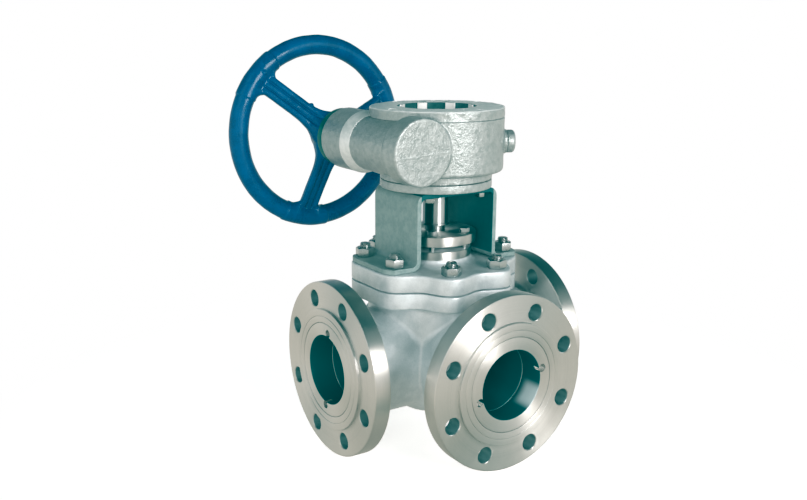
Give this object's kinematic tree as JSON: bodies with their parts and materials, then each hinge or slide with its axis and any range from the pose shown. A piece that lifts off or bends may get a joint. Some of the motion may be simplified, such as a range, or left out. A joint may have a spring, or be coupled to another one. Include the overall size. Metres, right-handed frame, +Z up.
{
  "type": "three-way ball valve",
  "caption": "Three-way flanged ball valve with a bolted bonnet, a folded bracket and a worm gear operator turned by a spoked handwheel.",
  "frame": {"origin": "centre of the flat pad under the body, on the stem axis; the port centre lines cross 67 mm above it", "axes": "+Z up along the stem axis, -X out of the left port, +X out of the right port, -Y out of the branch port; the handwheel is at +Y"},
  "size_m": [0.3207, 0.3138, 0.4507],
  "materials": {
    "blasted_steel": "blasted stainless casting",
    "turned_steel": "turned",
    "fastener_steel": "bright",
    "gear_paint": "rough silver-grey paint on a casting",
    "bracket_paint": "matt grey-green paint",
    "blue_paint": "glossy blue enamel",
    "ptfe": "smooth",
    "graphite": "matt",
    "bronze": "machined",
    "seal_rubber": "matt"
  },
  "bodies": {
    "valve": {"bonnet": "blasted_steel", "bonnet_gasket": "graphite", "bonnet_nut_1": "fastener_steel", "bonnet_nut_2": "fastener_steel", "bonnet_nut_3": "fastener_steel", "bonnet_nut_4": "fastener_steel", "bonnet_nut_5": "fastener_steel", "bonnet_nut_6": "fastener_steel", "bonnet_nut_7": "fastener_steel", "bonnet_nut_8": "fastener_steel", "bonnet_stud_1": "fastener_steel", "bonnet_stud_2": "fastener_steel", "bonnet_stud_3": "fastener_steel", "bonnet_stud_4": "fastener_steel", "bonnet_stud_5": "fastener_steel", "bonnet_stud_6": "fastener_steel", "bonnet_stud_7": "fastener_steel", "bonnet_stud_8": "fastener_steel", "bracket": "bracket_paint", "bracket_screw_1": "fastener_steel", "bracket_screw_2": "fastener_steel", "bracket_screw_3": "fastener_steel", "bracket_screw_4": "fastener_steel", "cover_screw_1": "fastener_steel", "cover_screw_2": "fastener_steel", "cover_screw_3": "fastener_steel", "cover_screw_4": "fastener_steel", "gearbox_cover": "gear_paint", "gearbox_housing": "gear_paint", "gland_bolt_1": "fastener_steel", "gland_bolt_2": "fastener_steel", "gland_bolt_3": "fastener_steel", "gland_bolt_4": "fastener_steel", "gland_bush": "turned_steel", "gland_flange": "turned_steel", "input_seal": "seal_rubber", "mounting_disc": "gear_paint", "seat_front": "ptfe", "seat_left": "ptfe", "seat_rear": "ptfe", "seat_retainer_front": "turned_steel", "seat_retainer_left": "turned_steel", "seat_retainer_right": "turned_steel", "seat_right": "ptfe", "stem_packing": "ptfe", "stem_thrust_washer": "ptfe", "stop_screw_closed": "fastener_steel", "stop_screw_open": "fastener_steel", "valve_body": "blasted_steel", "worm_bush_front": "bronze", "worm_bush_rear": "bronze"},
    "stem": {"ball": "turned_steel", "stem": "turned_steel", "drive_sleeve": "turned_steel", "worm_wheel": "bronze", "wheel_key": "fastener_steel"},
    "worm": {"worm_shaft": "turned_steel", "handwheel": "blue_paint", "handwheel_nut": "fastener_steel"}
  },
  "joints": [
    {"name": "stem_turn", "type": "hinge", "parent": "valve", "child": "stem", "pos_m": [0, 0, 0.067], "axis": [0, 0, 1], "range_deg": [0, 90]},
    {"name": "handwheel_turn", "type": "hinge", "parent": "valve", "child": "worm", "pos_m": [-0.064, 0, 0.3065], "axis": [0, 1, 0], "range_deg": [0, 3600]}
  ],
  "couplings": [
    {"joint": "handwheel_turn", "follows": "stem_turn", "ratio": 40}
  ]
}
